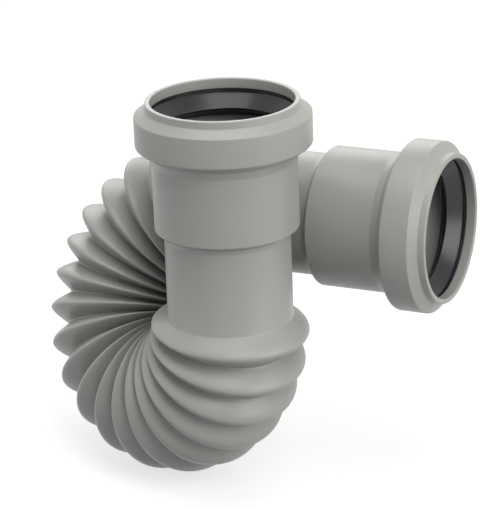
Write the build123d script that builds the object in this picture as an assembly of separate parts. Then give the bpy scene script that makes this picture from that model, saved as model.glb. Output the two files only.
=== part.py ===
from build123d import *
import math
import os

# Flexible waste pipe connector: one blow-moulded body and two rubber lip seals.
# Millimetres, +Z up the upper socket. The origin is the centre of that socket's pipe stop.

# The plain-ended waste pipe that each socket takes, and the room that it slides in.
PIPE_DIAMETER = 50.0
PIPE_CLEARANCE = 0.3

# Socket: from its mouth down to the pipe stop.
SOCKET_DEPTH = 49.4
SOCKET_WALL = 2.3
STOP_HEIGHT = 4.2
MOUTH_RADIUS = 27.3
MOUTH_WALL = 2.0
MOUTH_HEIGHT = 2.8

# The bead that swells round the socket's mouth and holds the seal.
BEAD_RADIUS = 33.6
BEAD_WALL = 2.1
BEAD_SHOULDER = 2.6
BEAD_HEIGHT = 11.4
BEAD_UNDERCUT = 6.2

# Plain tube between each socket and the bellows.
TUBE_RADIUS = 24.1
TUBE_WALL = 1.9
UPPER_TUBE_LENGTH = 32.6
SIDE_TUBE_LENGTH = 35.1

# Bellows: how far its folds reach from the centre line, on the outside of the bend and,
# where they are squeezed together, on the inside of it.
FOLD_COUNT = 20
FOLD_PITCH = 9.18
CREST_OUTSIDE = 30.3
CREST_INSIDE = 30.6
ROOT_RADIUS = 24.2
CREST_WALL_OUTSIDE = 1.7
CREST_WALL_INSIDE = 5.8
ROOT_WALL = 1.5

# Early in the bend the outside of the folds is pulled nearly flat: where along the bend,
# over how much of it, and how much of a fold's depth goes.
FLAT_PLACE = 0.27
FLAT_SPREAD = 0.14
FLAT_SHARE = 0.75

# The bend: three quarters of a turn, with the side leg stepping back behind the upper leg.
# The turn is gentler at both ends, tighter early on, and wavers a little. The loop's plane
# swings round from the start, and the first folds are drawn out more than the last ones.
BEND_ANGLE = 270.0
BEND_EASE = 0.284
BEND_SKEW = 0.201
BEND_WAVER = 0.133
STEP_BACK_SLOPE = 30.7
STEP_BACK_SKEW = 0.27
LOOP_SWING = 14.4
FOLD_STRETCH = 0.07
STEPS_PER_HALF_FOLD = 24

# Lip seal: clear of its groove, and with its lip pressed open to let the pipe pass.
SEAL_CLEARANCE = 0.1
LIP_CLEARANCE = 0.1
LIP_DEPTH = 12.2
LIP_THICKNESS = 1.0
SEAL_WEB = 2.6

BORE_RADIUS = PIPE_DIAMETER / 2 + PIPE_CLEARANCE
SOCKET_RADIUS = BORE_RADIUS + SOCKET_WALL
RIM_RADIUS = MOUTH_RADIUS + MOUTH_WALL
TUBE_BORE = TUBE_RADIUS - TUBE_WALL

# Depths below the mouth.
BEAD_TOP = MOUTH_HEIGHT + BEAD_SHOULDER
BEAD_BOTTOM = BEAD_TOP + BEAD_HEIGHT
BEAD_END = BEAD_BOTTOM + BEAD_UNDERCUT

# The seal's groove inside the bead, one wall thickness in.
GROOVE_RADIUS = BEAD_RADIUS - BEAD_WALL
GROOVE_MOUTH = MOUTH_HEIGHT + BEAD_WALL / 2
GROOVE_TOP = BEAD_TOP + BEAD_WALL / 2
GROOVE_BOTTOM = BEAD_BOTTOM - BEAD_WALL / 4
GROOVE_END = BEAD_END - BEAD_WALL / 2


def leg(tube_length):
    """A socket and its plain tube, with the tube's end at the origin and the mouth up."""
    mouth = tube_length + STOP_HEIGHT + SOCKET_DEPTH
    outside = [
        (TUBE_RADIUS, 0),
        (TUBE_RADIUS, tube_length),
        (SOCKET_RADIUS, tube_length + STOP_HEIGHT),
        (SOCKET_RADIUS, mouth - BEAD_END),
        (BEAD_RADIUS, mouth - BEAD_BOTTOM),
        (BEAD_RADIUS, mouth - BEAD_TOP),
        (RIM_RADIUS, mouth - MOUTH_HEIGHT),
        (RIM_RADIUS, mouth),
    ]
    inside = [
        (MOUTH_RADIUS, mouth),
        (MOUTH_RADIUS, mouth - GROOVE_MOUTH),
        (GROOVE_RADIUS, mouth - GROOVE_TOP),
        (GROOVE_RADIUS, mouth - GROOVE_BOTTOM),
        (BORE_RADIUS, mouth - GROOVE_END),
        (BORE_RADIUS, tube_length + STOP_HEIGHT),
        (TUBE_BORE, tube_length),
        (TUBE_BORE, 0),
    ]
    section = Plane.XZ * make_face(Polyline(*outside, *inside, close=True))
    return revolve(section, axis=Axis.Z)


def lip_seal():
    """A rubber ring that fills the groove, with a lip sloping down into the bore."""
    top_slope = (GROOVE_TOP - GROOVE_MOUTH) / (GROOVE_RADIUS - MOUTH_RADIUS)
    back = GROOVE_RADIUS - SEAL_CLEARANCE
    top = GROOVE_TOP + SEAL_CLEARANCE
    front = MOUTH_RADIUS + SEAL_CLEARANCE
    lip = PIPE_DIAMETER / 2 + LIP_CLEARANCE
    profile = [
        (back, -top),
        (front, -(top - top_slope * (back - front))),
        (lip, -LIP_DEPTH),
        (back - SEAL_WEB, -LIP_DEPTH - LIP_THICKNESS),
        (back, -GROOVE_BOTTOM + SEAL_CLEARANCE),
    ]
    section = Plane.XZ * make_face(Polyline(*profile, close=True))
    return revolve(section, axis=Axis.Z)


def heading(along):
    """Direction of the bellows' centre line at a share of its length."""
    wave = 2 * math.pi * along
    eased = along - BEND_EASE * math.sin(wave) / (2 * math.pi)
    skewed = eased + BEND_SKEW * (1 - math.cos(wave)) / (2 * math.pi)
    wavering = skewed - BEND_WAVER * (1 - math.cos(2 * wave)) / (4 * math.pi)
    turn = math.radians(BEND_ANGLE) * wavering
    rise = math.sin(math.pi * along) + STEP_BACK_SKEW * math.sin(wave)
    slope = math.radians(STEP_BACK_SLOPE) * rise
    direction = Vector(
        -math.sin(turn) * math.cos(slope),
        math.sin(slope),
        -math.cos(turn) * math.cos(slope),
    )
    return direction.rotate(Axis.Z, LOOP_SWING * (1 - along))


def fold_frames(start):
    """Centre, heading and outward direction at each root and crest along the bend."""
    steps = 2 * FOLD_COUNT * STEPS_PER_HALF_FOLD
    even_stride = FOLD_COUNT * FOLD_PITCH / steps
    nudge = 0.5 / steps
    centre = start
    frames = []
    for step in range(steps + 1):
        along = step / steps
        if step % STEPS_PER_HALF_FOLD == 0:
            outward = heading(along - nudge) - heading(along + nudge)
            frames.append((centre, heading(along), outward.normalized()))
        stride = even_stride * (1 + FOLD_STRETCH * math.sin(2 * math.pi * (along + nudge)))
        centre = centre + heading(along + nudge) * stride
    return frames


def fold_ring(frame, reach_outside, reach_inside):
    """A circle across the centre line, set off towards the outside of the bend."""
    centre, direction, outward = frame
    offset = (reach_outside - reach_inside) / 2
    plane = Plane(origin=centre + outward * offset, x_dir=outward, z_dir=direction)
    return plane * Circle((reach_outside + reach_inside) / 2)


def banded_solid(rings):
    """A solid whose side is one straight-drawn band from each ring to the next."""
    edges = [ring.edges()[0] for ring in rings]
    bands = [Face.make_surface_from_curves(a, b) for a, b in zip(edges, edges[1:])]
    ends = [rings[0].face(), rings[-1].face()]
    return Solid(Shell(bands + ends))


def root_outside(along):
    """Reach of a root on the outside of the bend, out towards the crests where it is flat."""
    flatness = FLAT_SHARE * math.exp(-(((along - FLAT_PLACE) / FLAT_SPREAD) ** 2))
    return ROOT_RADIUS + (CREST_OUTSIDE - ROOT_RADIUS) * flatness


def bellows(frames):
    """The folded wall between the two plain tubes."""
    outer = [fold_ring(frames[0], TUBE_RADIUS, TUBE_RADIUS)]
    inner = [fold_ring(frames[0], TUBE_BORE, TUBE_BORE)]
    for index in range(1, len(frames) - 1):
        frame = frames[index]
        if index % 2 == 1:
            outer.append(fold_ring(frame, CREST_OUTSIDE, CREST_INSIDE))
            crest_outside = CREST_OUTSIDE - CREST_WALL_OUTSIDE
            crest_inside = CREST_INSIDE - CREST_WALL_INSIDE
            inner.append(fold_ring(frame, crest_outside, crest_inside))
        else:
            reach = root_outside(index / (len(frames) - 1))
            outer.append(fold_ring(frame, reach, ROOT_RADIUS))
            inner.append(fold_ring(frame, reach - ROOT_WALL, ROOT_RADIUS - ROOT_WALL))
    outer.append(fold_ring(frames[-1], TUBE_RADIUS, TUBE_RADIUS))
    inner.append(fold_ring(frames[-1], TUBE_BORE, TUBE_BORE))
    return banded_solid(outer) - banded_solid(inner)


tube_end = Vector(0, 0, -STOP_HEIGHT - UPPER_TUBE_LENGTH)
frames = fold_frames(tube_end)
bend_end, side_heading, _ = frames[-1]
side_frame = Plane(origin=bend_end, x_dir=(0, 1, 0), z_dir=side_heading)
side_leg_length = SIDE_TUBE_LENGTH + STOP_HEIGHT + SOCKET_DEPTH

upper_leg = Pos(tube_end) * leg(UPPER_TUBE_LENGTH)
side_leg = side_frame * leg(SIDE_TUBE_LENGTH)
connector_body = upper_leg + bellows(frames) + side_leg
upper_seal = Pos(0, 0, SOCKET_DEPTH) * lip_seal()
side_seal = side_frame * Pos(0, 0, side_leg_length) * lip_seal()

os.makedirs("parts", exist_ok=True)
export_step(connector_body, "parts/connector_body.step")
export_step(upper_seal, "parts/upper_seal.step")
export_step(side_seal, "parts/side_seal.step")
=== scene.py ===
import math

import bpy
from mathutils import Matrix, Vector


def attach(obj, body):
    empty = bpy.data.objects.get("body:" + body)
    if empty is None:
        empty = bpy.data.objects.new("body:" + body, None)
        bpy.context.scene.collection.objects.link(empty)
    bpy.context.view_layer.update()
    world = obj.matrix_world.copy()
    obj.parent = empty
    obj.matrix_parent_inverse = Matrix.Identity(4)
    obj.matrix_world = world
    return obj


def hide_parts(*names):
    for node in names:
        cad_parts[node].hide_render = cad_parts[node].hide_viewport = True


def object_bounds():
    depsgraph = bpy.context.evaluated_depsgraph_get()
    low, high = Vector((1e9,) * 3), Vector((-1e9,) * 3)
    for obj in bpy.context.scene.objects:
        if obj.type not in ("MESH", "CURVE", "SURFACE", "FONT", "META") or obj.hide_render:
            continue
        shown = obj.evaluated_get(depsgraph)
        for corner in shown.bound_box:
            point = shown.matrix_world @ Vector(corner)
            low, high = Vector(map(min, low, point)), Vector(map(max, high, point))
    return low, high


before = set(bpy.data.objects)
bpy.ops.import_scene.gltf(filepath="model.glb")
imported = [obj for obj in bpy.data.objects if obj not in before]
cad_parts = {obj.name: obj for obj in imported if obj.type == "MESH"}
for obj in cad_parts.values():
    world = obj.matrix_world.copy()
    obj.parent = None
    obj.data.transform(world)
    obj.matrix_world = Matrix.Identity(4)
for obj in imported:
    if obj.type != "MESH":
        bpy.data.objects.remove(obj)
cad_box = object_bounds()

MM = 0.001

# Sizes of the connector, in millimetres, as its solids have them. Depths are below a mouth.
BORE_RADIUS = 25.3
SOCKET_DEPTH = 49.4
SOCKET_RADIUS = 27.6
STOP_HEIGHT = 4.2
MOUTH_RADIUS = 27.3
RIM_RADIUS = 29.3
MOUTH_HEIGHT = 2.8
BEAD_RADIUS = 33.6
BEAD_TOP = 5.4
BEAD_BOTTOM = 16.8
BEAD_END = 23.0
GROOVE_RADIUS = 31.5
GROOVE_MOUTH = 3.85
GROOVE_TOP = 6.45
GROOVE_BOTTOM = 16.275
GROOVE_END = 21.95
TUBE_RADIUS = 24.1
TUBE_BORE = 22.2
UPPER_TUBE_LENGTH = 32.6
SIDE_TUBE_LENGTH = 35.1

# The tube flares a little before it steps out to the socket, over these heights.
FLARE_START = 0.2
FLARE = 0.6
FLARE_END_BELOW_STOP = 2.2
STEP_END_BELOW_STOP = 0.3

# The hollow under the bead: how far out and up from the socket it turns.
HOLLOW_OUT = 1.3
HOLLOW_UP = 3.2

# The bellows: reaches from the centre line on the outside and the inside of the bend.
# Its roots are cut deeper, and its wall is thinner there, than in the solid.
FOLD_COUNT = 20
FOLD_PITCH = 9.18
CREST_OUTSIDE = 30.3
CREST_INSIDE = 30.6
CREST_BORE_OUTSIDE = 28.6
CREST_BORE_INSIDE = 24.8
ROOT_RADIUS = 23.0
ROOT_WALL = 0.9

# Early in the bend the outside of the folds is pulled nearly flat: where along the bend,
# over how much of it, and how much of a fold's depth goes.
FLAT_PLACE = 0.27
FLAT_SPREAD = 0.14
FLAT_SHARE = 0.75

# The bend: three quarters of a turn, with the side leg stepping back behind the upper leg.
BEND_ANGLE = 270.0
BEND_EASE = 0.284
BEND_SKEW = 0.201
BEND_WAVER = 0.133
STEP_BACK_SLOPE = 30.7
STEP_BACK_SKEW = 0.27
LOOP_SWING = 14.4
FOLD_STRETCH = 0.07

# How a fold's profile is rounded: a small fillet in the root, a fuller round on the crest.
# A low power makes a fat crest, as where the folds are squeezed on the inside of the bend.
ROOT_FILLET = 0.06
CREST_POWER_OUTSIDE = 5.0
CREST_POWER_INSIDE = 2.2

# Lip seal, at rest: its lip hangs further into the bore than it does round a pipe.
SEAL_BACK = 31.4
SEAL_TOP = 6.55
SEAL_FRONT = 28.3
SEAL_FRONT_DEPTH = 4.8
SEAL_BOTTOM = 16.175
LIP_ROOT_DEPTH = 5.8
LIP_RADIUS = 23.3
LIP_DEPTH = 10.8
LIP_THICKNESS = 1.3
LIP_UNDERSIDE_RADIUS = 28.2
LIP_UNDERSIDE_DEPTH = 8.3

# Corner rounds of the turned profiles, in the order of their points.
OUTSIDE_ROUNDS = (0, 1.5, 1.2, 0.4, 1.5, 1.5, 1.1, 0.6, 0.25, 0.45, 0)
INSIDE_ROUNDS = (0, 0.7, 0.3, 0.4, 0.4, 0.6, 0.6, 0.6, 0)
SEAL_ROUNDS = (0, 0.3, 0.3, 0.3, 0.5, 0.5, 0.6, 0.5, 0.3, 0)

# How finely the surfaces are drawn. Climbs are shares of the way from a root to a crest.
AROUND = 128
CLIMBS = (0.0, 0.04, 0.09, 0.2, 0.4, 0.6, 0.76, 0.87, 0.95)
INNER_CLIMBS = (0.0, 0.35, 0.7)
CORNER_STEPS = 6
CORNER_LIMIT = 0.49
BEND_STEPS = 1920

# Grey plastic: a faint cloud of tone and gloss, and a fine grain.
PLASTIC_DARK = (0.368, 0.370, 0.353, 1)
PLASTIC_LIGHT = (0.408, 0.410, 0.391, 1)
PLASTIC_ROUGHNESS = (0.32, 0.42)
PLASTIC_CLOUD_SCALE = 38.0
PLASTIC_CLOUD_DETAIL = 4.0
GRAIN_SCALE = 2200.0
GRAIN_DETAIL = 3.0
GRAIN_STRENGTH = 0.06
GRAIN_HEIGHT = 0.0002

# Black rubber: a soft sheen with a dusty bloom.
RUBBER_DARK = (0.004, 0.004, 0.006, 1)
RUBBER_LIGHT = (0.016, 0.017, 0.024, 1)
RUBBER_ROUGHNESS = (0.20, 0.32)
RUBBER_BLOOM_SCALE = 120.0
RUBBER_BLOOM_DETAIL = 5.0

# The photograph's camera: it looks at the aim point, in millimetres, from this angle.
IMAGE_WIDTH = 500
FOCAL_PIXELS = 2977.4
SENSOR_WIDTH = 36.0
CAMERA_AZIMUTH = 25.011
CAMERA_ELEVATION = 19.864
CAMERA_ROLL = 2.099
CAMERA_DISTANCE = 1110.86
CAMERA_AIM = (15.833, -14.49, -5.473)
CAMERA_CLIP = 0.01

# Studio: the floor as it shows, what it throws back up, and the cool light from all round.
FLOOR_SIZE = 6.0
FLOOR_GAP = 0.001
FLOOR_GLOW = 0.68
FLOOR_SHADE = (0.5, 0.5, 0.5, 1)
FLOOR_BOUNCE = (0.26, 0.26, 0.28, 1)
WORLD_LIGHT = 0.20
WORLD_TINT = (0.93, 0.94, 1.0, 1)
WHITE = (1, 1, 1, 1)

# Soft square lights that face the connector: name, place, side in metres, power in watts.
LIGHT_TINT = (1.0, 0.99, 0.95)
LIGHTS = (
    ("overhead", (0.0, -0.1, 1.2), 1.0, 7.0),
    ("front_key", (0.75, -0.75, 0.95), 0.7, 6.0),
    ("right_side", (1.2, -0.15, 0.3), 0.8, 7.0),
    ("left_side", (-1.0, -0.7, 0.4), 0.8, 3.0),
    ("back_fill", (-0.6, 1.1, 0.6), 0.8, 4.0),
)


def heading(along):
    """Direction of the bellows' centre line at a share of its length."""
    wave = 2 * math.pi * along
    eased = along - BEND_EASE * math.sin(wave) / (2 * math.pi)
    skewed = eased + BEND_SKEW * (1 - math.cos(wave)) / (2 * math.pi)
    wavering = skewed - BEND_WAVER * (1 - math.cos(2 * wave)) / (4 * math.pi)
    turn = math.radians(BEND_ANGLE) * wavering
    rise = math.sin(math.pi * along) + STEP_BACK_SKEW * math.sin(wave)
    slope = math.radians(STEP_BACK_SLOPE) * rise
    direction = Vector((
        -math.sin(turn) * math.cos(slope),
        math.sin(slope),
        -math.cos(turn) * math.cos(slope),
    ))
    swing = math.radians(LOOP_SWING) * (1 - along)
    return Matrix.Rotation(swing, 3, "Z") @ direction


def bend_line():
    """Places of the bellows' centre line at even steps along the bend."""
    even_stride = FOLD_COUNT * FOLD_PITCH / BEND_STEPS
    centre = Vector((0, 0, -STOP_HEIGHT - UPPER_TUBE_LENGTH))
    places = [centre]
    for step in range(BEND_STEPS):
        along = (step + 0.5) / BEND_STEPS
        stride = even_stride * (1 + FOLD_STRETCH * math.sin(2 * math.pi * along))
        centre = centre + heading(along) * stride
        places.append(centre)
    return places


def bend_frame(places, along):
    """Centre, heading and outward direction at a share of the bend's length."""
    step = min(int(along * BEND_STEPS), BEND_STEPS - 1)
    centre = places[step].lerp(places[step + 1], along * BEND_STEPS - step)
    nudge = 0.5 / BEND_STEPS
    outward = (heading(along - nudge) - heading(along + nudge)).normalized()
    return centre, heading(along), outward


def rounded(points, rounds):
    """A profile with its corners rounded. Its two ends and corners with no round stay sharp."""
    out = []
    last = len(points) - 1
    for index, point in enumerate(points):
        radius = rounds[index]
        if index in (0, last) or radius == 0:
            out.append(point)
            continue
        here = Vector(point)
        back = Vector(points[index - 1]) - here
        ahead = Vector(points[index + 1]) - here
        room = CORNER_LIMIT * min(back.length, ahead.length)
        reach = min(radius / math.tan(back.angle(ahead) / 2), room)
        start = here + back.normalized() * reach
        end = here + ahead.normalized() * reach
        for step in range(CORNER_STEPS + 1):
            share = step / CORNER_STEPS
            bent = start * (1 - share) ** 2 + here * 2 * share * (1 - share) + end * share ** 2
            out.append((bent.x, bent.y))
    return out


def ring_points(centre, across, up, radius):
    """Points of one circle, in metres."""
    points = []
    for step in range(AROUND):
        turn = 2 * math.pi * step / AROUND
        point = centre + (across * math.cos(turn) + up * math.sin(turn)) * radius
        points.append(point * MM)
    return points


def mesh_from_rings(name, rings):
    """A closed wall with faces between neighbouring rings, the last joined to the first."""
    vertices = [point for ring in rings for point in ring]
    faces = []
    for row in range(len(rings)):
        following = (row + 1) % len(rings)
        for step in range(AROUND):
            beside = (step + 1) % AROUND
            faces.append((
                row * AROUND + step,
                row * AROUND + beside,
                following * AROUND + beside,
                following * AROUND + step,
            ))
    mesh = bpy.data.meshes.new(name)
    mesh.from_pydata(vertices, [], faces)
    mesh.polygons.foreach_set("use_smooth", [True] * len(mesh.polygons))
    mesh.validate()
    piece = bpy.data.objects.new(name, mesh)
    bpy.context.scene.collection.objects.link(piece)
    return piece


def straight_rings(profile, foot, direction, across):
    """Rings of a turned profile that stands on a foot point along a direction."""
    up = direction.cross(across)
    rings = []
    for radius, height in profile:
        rings.append(ring_points(foot + direction * height, across, up, radius))
    return rings


def leg_outside(tube_length):
    """Outside profile from the tube's end to the rim: radius and height above the end."""
    stop = tube_length + STOP_HEIGHT
    mouth = stop + SOCKET_DEPTH
    points = [
        (TUBE_RADIUS, 0),
        (TUBE_RADIUS, tube_length + FLARE_START),
        (TUBE_RADIUS + FLARE, stop - FLARE_END_BELOW_STOP),
        (SOCKET_RADIUS, stop - STEP_END_BELOW_STOP),
        (SOCKET_RADIUS, mouth - BEAD_END),
        (SOCKET_RADIUS + HOLLOW_OUT, mouth - BEAD_END + HOLLOW_UP),
        (BEAD_RADIUS, mouth - BEAD_BOTTOM),
        (BEAD_RADIUS, mouth - BEAD_TOP),
        (RIM_RADIUS, mouth - MOUTH_HEIGHT),
        (RIM_RADIUS, mouth),
        ((RIM_RADIUS + MOUTH_RADIUS) / 2, mouth),
    ]
    return rounded(points, OUTSIDE_ROUNDS)


def leg_inside(tube_length):
    """Inside profile from the middle of the rim down to the tube's end."""
    stop = tube_length + STOP_HEIGHT
    mouth = stop + SOCKET_DEPTH
    points = [
        ((RIM_RADIUS + MOUTH_RADIUS) / 2, mouth),
        (MOUTH_RADIUS, mouth),
        (MOUTH_RADIUS, mouth - GROOVE_MOUTH),
        (GROOVE_RADIUS, mouth - GROOVE_TOP),
        (GROOVE_RADIUS, mouth - GROOVE_BOTTOM),
        (BORE_RADIUS, mouth - GROOVE_END),
        (BORE_RADIUS, stop),
        (TUBE_BORE, tube_length),
        (TUBE_BORE, 0),
    ]
    return rounded(points, INSIDE_ROUNDS)


def fold_shape(climb, power):
    """Share of a fold's depth at a share of the climb from its root to its crest."""
    eased = math.hypot(climb, ROOT_FILLET) - ROOT_FILLET
    eased = eased / (math.hypot(1, ROOT_FILLET) - ROOT_FILLET)
    return (power * eased - eased ** power) / (power - 1)


def fold_places(climbs):
    """Places across one fold, as shares of it: up from a root to the crest and down again."""
    rising = [climb / 2 for climb in climbs]
    falling = [1 - place for place in rising[:0:-1]]
    return rising + [0.5] + falling


def root_outside(along):
    """Reach of a root on the outside of the bend, out towards the crests where it is flat."""
    flatness = FLAT_SHARE * math.exp(-(((along - FLAT_PLACE) / FLAT_SPREAD) ** 2))
    return ROOT_RADIUS + (CREST_OUTSIDE - ROOT_RADIUS) * flatness


def fold_rings(places, climbs, crest_out, crest_in, wall, end_radius):
    """Rings of the folded wall, one wall thickness in from the roots, without its two ends."""
    rings = []
    for fold in range(FOLD_COUNT):
        for place in fold_places(climbs):
            folds_passed = fold + place
            if folds_passed == 0:
                continue
            along = folds_passed / FOLD_COUNT
            root_out = root_outside(along) - wall
            root_in = ROOT_RADIUS - wall
            # The first and the last half fold run into the plain tubes.
            if folds_passed < 0.5 or folds_passed > FOLD_COUNT - 0.5:
                root_out = end_radius
                root_in = end_radius
            climb = 2 * min(place, 1 - place)
            out_share = fold_shape(climb, CREST_POWER_OUTSIDE)
            in_share = fold_shape(climb, CREST_POWER_INSIDE)
            out_reach = root_out + (crest_out - root_out) * out_share
            in_reach = root_in + (crest_in - root_in) * in_share
            centre, direction, outward = bend_frame(places, along)
            middle = centre + outward * (out_reach - in_reach) / 2
            up = direction.cross(outward)
            rings.append(ring_points(middle, outward, up, (out_reach + in_reach) / 2))
    return rings


def other_way_round(rings):
    """The same rings from the same first points, run round the other way."""
    return [[ring[-step % AROUND] for step in range(AROUND)] for ring in rings]


def build_body(places):
    """The whole connector wall: down the outside from the upper rim, and back inside."""
    start, down, start_out = bend_frame(places, 0)
    end, away, end_out = bend_frame(places, 1)
    # The upper leg stands back up the line, so its rings are turned to match the folds.
    upper = straight_rings(leg_outside(UPPER_TUBE_LENGTH), start, -down, start_out)
    upper_in = straight_rings(leg_inside(UPPER_TUBE_LENGTH), start, -down, start_out)
    upper = other_way_round(upper)
    upper_in = other_way_round(upper_in)
    side = straight_rings(leg_outside(SIDE_TUBE_LENGTH), end, away, end_out)
    side_in = straight_rings(leg_inside(SIDE_TUBE_LENGTH), end, away, end_out)
    folds = fold_rings(places, CLIMBS, CREST_OUTSIDE, CREST_INSIDE, 0, TUBE_RADIUS)
    bores = fold_rings(
        places, INNER_CLIMBS, CREST_BORE_OUTSIDE, CREST_BORE_INSIDE, ROOT_WALL, TUBE_BORE
    )
    # The middle of each rim belongs to both profiles and is used once.
    outside = upper[::-1] + folds + side
    inside = side_in[1:] + bores[::-1] + upper_in[:0:-1]
    return mesh_from_rings("body_wall", outside + inside)


def build_seal(name, mouth, direction, across):
    """A rubber ring with a sloping lip, turned about the socket's axis."""
    middle = (SEAL_TOP + SEAL_BOTTOM) / 2
    points = [
        (SEAL_BACK, -middle),
        (SEAL_BACK, -SEAL_TOP),
        (SEAL_FRONT, -SEAL_FRONT_DEPTH),
        (SEAL_FRONT, -LIP_ROOT_DEPTH),
        (LIP_RADIUS, -LIP_DEPTH),
        (LIP_RADIUS + LIP_THICKNESS / 2, -LIP_DEPTH - LIP_THICKNESS),
        (LIP_UNDERSIDE_RADIUS, -LIP_UNDERSIDE_DEPTH),
        (LIP_UNDERSIDE_RADIUS, -middle - LIP_THICKNESS),
        (SEAL_BACK, -SEAL_BOTTOM),
        (SEAL_BACK, -middle),
    ]
    # The profile comes back to its first point, which is used once.
    profile = rounded(points, SEAL_ROUNDS)[:-1]
    return mesh_from_rings(name, straight_rings(profile, mouth, direction, across))


def node(tree, kind, **values):
    """A new shader node with its plain properties set."""
    made = tree.nodes.new(kind)
    for key, value in values.items():
        setattr(made, key, value)
    return made


def noise(tree, place, scale, detail):
    """A noise that stays with the object."""
    made = node(tree, "ShaderNodeTexNoise")
    made.inputs["Scale"].default_value = scale
    made.inputs["Detail"].default_value = detail
    tree.links.new(place.outputs["Object"], made.inputs["Vector"])
    return made


def mottled(material, place, scale, detail, dark, light, roughness):
    """Lets one noise vary a material's tone and gloss together."""
    tree = material.node_tree
    shader = tree.nodes["Principled BSDF"]
    cloud = noise(tree, place, scale, detail)
    tone = node(tree, "ShaderNodeValToRGB")
    tone.color_ramp.elements[0].color = dark
    tone.color_ramp.elements[1].color = light
    gloss = node(tree, "ShaderNodeMapRange")
    gloss.inputs["To Min"].default_value = roughness[0]
    gloss.inputs["To Max"].default_value = roughness[1]
    link = tree.links.new
    link(cloud.outputs["Fac"], tone.inputs["Fac"])
    link(tone.outputs["Color"], shader.inputs["Base Color"])
    link(cloud.outputs["Fac"], gloss.inputs["Value"])
    link(gloss.outputs["Result"], shader.inputs["Roughness"])


def grey_plastic():
    """Satin moulded polypropylene with a faint cloud of tone and a fine grain."""
    material = bpy.data.materials.new("grey_polypropylene")
    material.use_nodes = True
    tree = material.node_tree
    place = node(tree, "ShaderNodeTexCoord")
    mottled(
        material, place, PLASTIC_CLOUD_SCALE, PLASTIC_CLOUD_DETAIL,
        PLASTIC_DARK, PLASTIC_LIGHT, PLASTIC_ROUGHNESS,
    )
    grain = noise(tree, place, GRAIN_SCALE, GRAIN_DETAIL)
    bump = node(tree, "ShaderNodeBump")
    bump.inputs["Strength"].default_value = GRAIN_STRENGTH
    bump.inputs["Distance"].default_value = GRAIN_HEIGHT
    tree.links.new(grain.outputs["Fac"], bump.inputs["Height"])
    tree.links.new(bump.outputs["Normal"], tree.nodes["Principled BSDF"].inputs["Normal"])
    return material


def black_rubber():
    """Smooth moulded rubber, almost black, with a soft sheen and a dusty bloom."""
    material = bpy.data.materials.new("black_rubber")
    material.use_nodes = True
    place = node(material.node_tree, "ShaderNodeTexCoord")
    mottled(
        material, place, RUBBER_BLOOM_SCALE, RUBBER_BLOOM_DETAIL,
        RUBBER_DARK, RUBBER_LIGHT, RUBBER_ROUGHNESS,
    )
    return material


def shown_directly(tree):
    """A value of 1 for what the camera sees directly, in a reflection or through glass."""
    path = node(tree, "ShaderNodeLightPath")
    indirect = node(tree, "ShaderNodeMath", operation="MAXIMUM")
    either = node(tree, "ShaderNodeMath", operation="MAXIMUM")
    link = tree.links.new
    link(path.outputs["Is Glossy Ray"], indirect.inputs[0])
    link(path.outputs["Is Transmission Ray"], indirect.inputs[1])
    link(path.outputs["Is Camera Ray"], either.inputs[0])
    link(indirect.outputs["Value"], either.inputs[1])
    return either.outputs["Value"]


def pale_floor():
    """A matt floor that looks white with a soft shadow, and throws less light back up."""
    material = bpy.data.materials.new("studio_floor")
    material.use_nodes = True
    tree = material.node_tree
    bounce = tree.nodes["Principled BSDF"]
    bounce.inputs["Base Color"].default_value = FLOOR_BOUNCE
    bounce.inputs["Roughness"].default_value = 1.0
    bounce.inputs["Specular IOR Level"].default_value = 0.0
    shade = node(tree, "ShaderNodeBsdfDiffuse")
    shade.inputs["Color"].default_value = FLOOR_SHADE
    glow = node(tree, "ShaderNodeEmission")
    glow.inputs["Strength"].default_value = FLOOR_GLOW
    shown = node(tree, "ShaderNodeAddShader")
    mix = node(tree, "ShaderNodeMixShader")
    link = tree.links.new
    link(shade.outputs["BSDF"], shown.inputs[0])
    link(glow.outputs["Emission"], shown.inputs[1])
    link(shown_directly(tree), mix.inputs["Fac"])
    link(bounce.outputs["BSDF"], mix.inputs[1])
    link(shown.outputs["Shader"], mix.inputs[2])
    link(mix.outputs["Shader"], tree.nodes["Material Output"].inputs["Surface"])
    return material


def add_floor(height):
    """The studio floor, which is no part of the connector."""
    bpy.ops.mesh.primitive_plane_add(size=FLOOR_SIZE, location=(0, 0, height))
    floor = bpy.context.object
    floor.name = "studio_floor"
    floor.data.materials.append(pale_floor())


def add_world():
    """An even surround that looks white wherever it shows."""
    world = bpy.data.worlds.new("studio_surround")
    bpy.context.scene.world = world
    world.use_nodes = True
    tree = world.node_tree
    lit = tree.nodes["Background"]
    lit.inputs["Color"].default_value = WORLD_TINT
    lit.inputs["Strength"].default_value = WORLD_LIGHT
    shown = node(tree, "ShaderNodeBackground")
    shown.inputs["Color"].default_value = WHITE
    mix = node(tree, "ShaderNodeMixShader")
    link = tree.links.new
    link(shown_directly(tree), mix.inputs["Fac"])
    link(lit.outputs["Background"], mix.inputs[1])
    link(shown.outputs["Background"], mix.inputs[2])
    link(mix.outputs["Shader"], tree.nodes["World Output"].inputs["Surface"])


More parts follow.
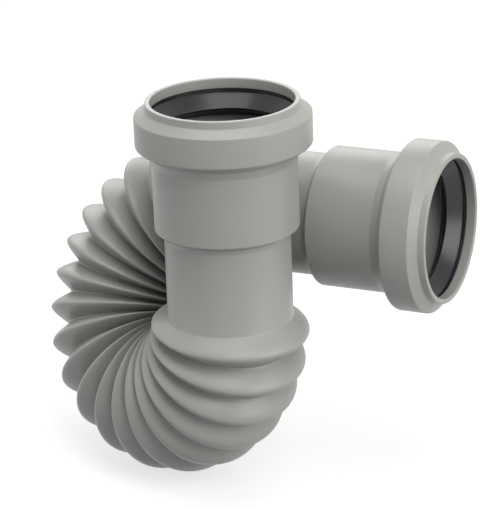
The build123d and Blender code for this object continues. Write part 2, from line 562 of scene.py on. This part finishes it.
def add_light(name, place, size, power):
    """A soft square light that faces the origin."""
    data = bpy.data.lights.new(name, "AREA")
    data.size = size
    data.energy = power
    data.color = LIGHT_TINT
    light = bpy.data.objects.new(name, data)
    light.location = place
    light.rotation_euler = (-Vector(place)).to_track_quat("-Z", "Y").to_euler()
    bpy.context.scene.collection.objects.link(light)


def add_camera():
    """The photograph's camera."""
    azimuth = math.radians(CAMERA_AZIMUTH)
    elevation = math.radians(CAMERA_ELEVATION)
    back = Vector((
        math.sin(azimuth) * math.cos(elevation),
        -math.cos(azimuth) * math.cos(elevation),
        math.sin(elevation),
    ))
    right = Vector((0, 0, 1)).cross(back).normalized()
    up = back.cross(right)
    roll = Matrix.Rotation(-math.radians(CAMERA_ROLL), 3, "Z")
    turn = Matrix((right, up, back)).transposed() @ roll
    data = bpy.data.cameras.new("photo_camera")
    data.sensor_fit = "HORIZONTAL"
    data.sensor_width = SENSOR_WIDTH
    data.lens = FOCAL_PIXELS / IMAGE_WIDTH * SENSOR_WIDTH
    data.clip_start = CAMERA_CLIP
    camera = bpy.data.objects.new("photo_camera", data)
    place = (Vector(CAMERA_AIM) + back * CAMERA_DISTANCE) * MM
    camera.matrix_world = Matrix.Translation(place) @ turn.to_4x4()
    bpy.context.scene.collection.objects.link(camera)
    bpy.context.scene.camera = camera


places = bend_line()
bend_end, side_heading, _ = bend_frame(places, 1)
side_mouth = bend_end + side_heading * (SIDE_TUBE_LENGTH + STOP_HEIGHT + SOCKET_DEPTH)
upper_mouth = Vector((0, 0, SOCKET_DEPTH))

plastic = grey_plastic()
rubber = black_rubber()

body = build_body(places)
body.data.materials.append(plastic)
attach(body, "root")
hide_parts("connector_body")

upper_ring = build_seal("upper_lip_ring", upper_mouth, Vector((0, 0, 1)), Vector((1, 0, 0)))
side_ring = build_seal("side_lip_ring", side_mouth, side_heading, Vector((0, 1, 0)))
for ring, replaced in ((upper_ring, "upper_seal"), (side_ring, "side_seal")):
    ring.data.materials.append(rubber)
    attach(ring, "root")
    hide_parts(replaced)

lowest = cad_box[0][2]
add_floor(lowest - FLOOR_GAP)
add_world()
for name, place, size, power in LIGHTS:
    add_light(name, place, size, power)
add_camera()

bpy.context.scene.view_settings.view_transform = "Standard"
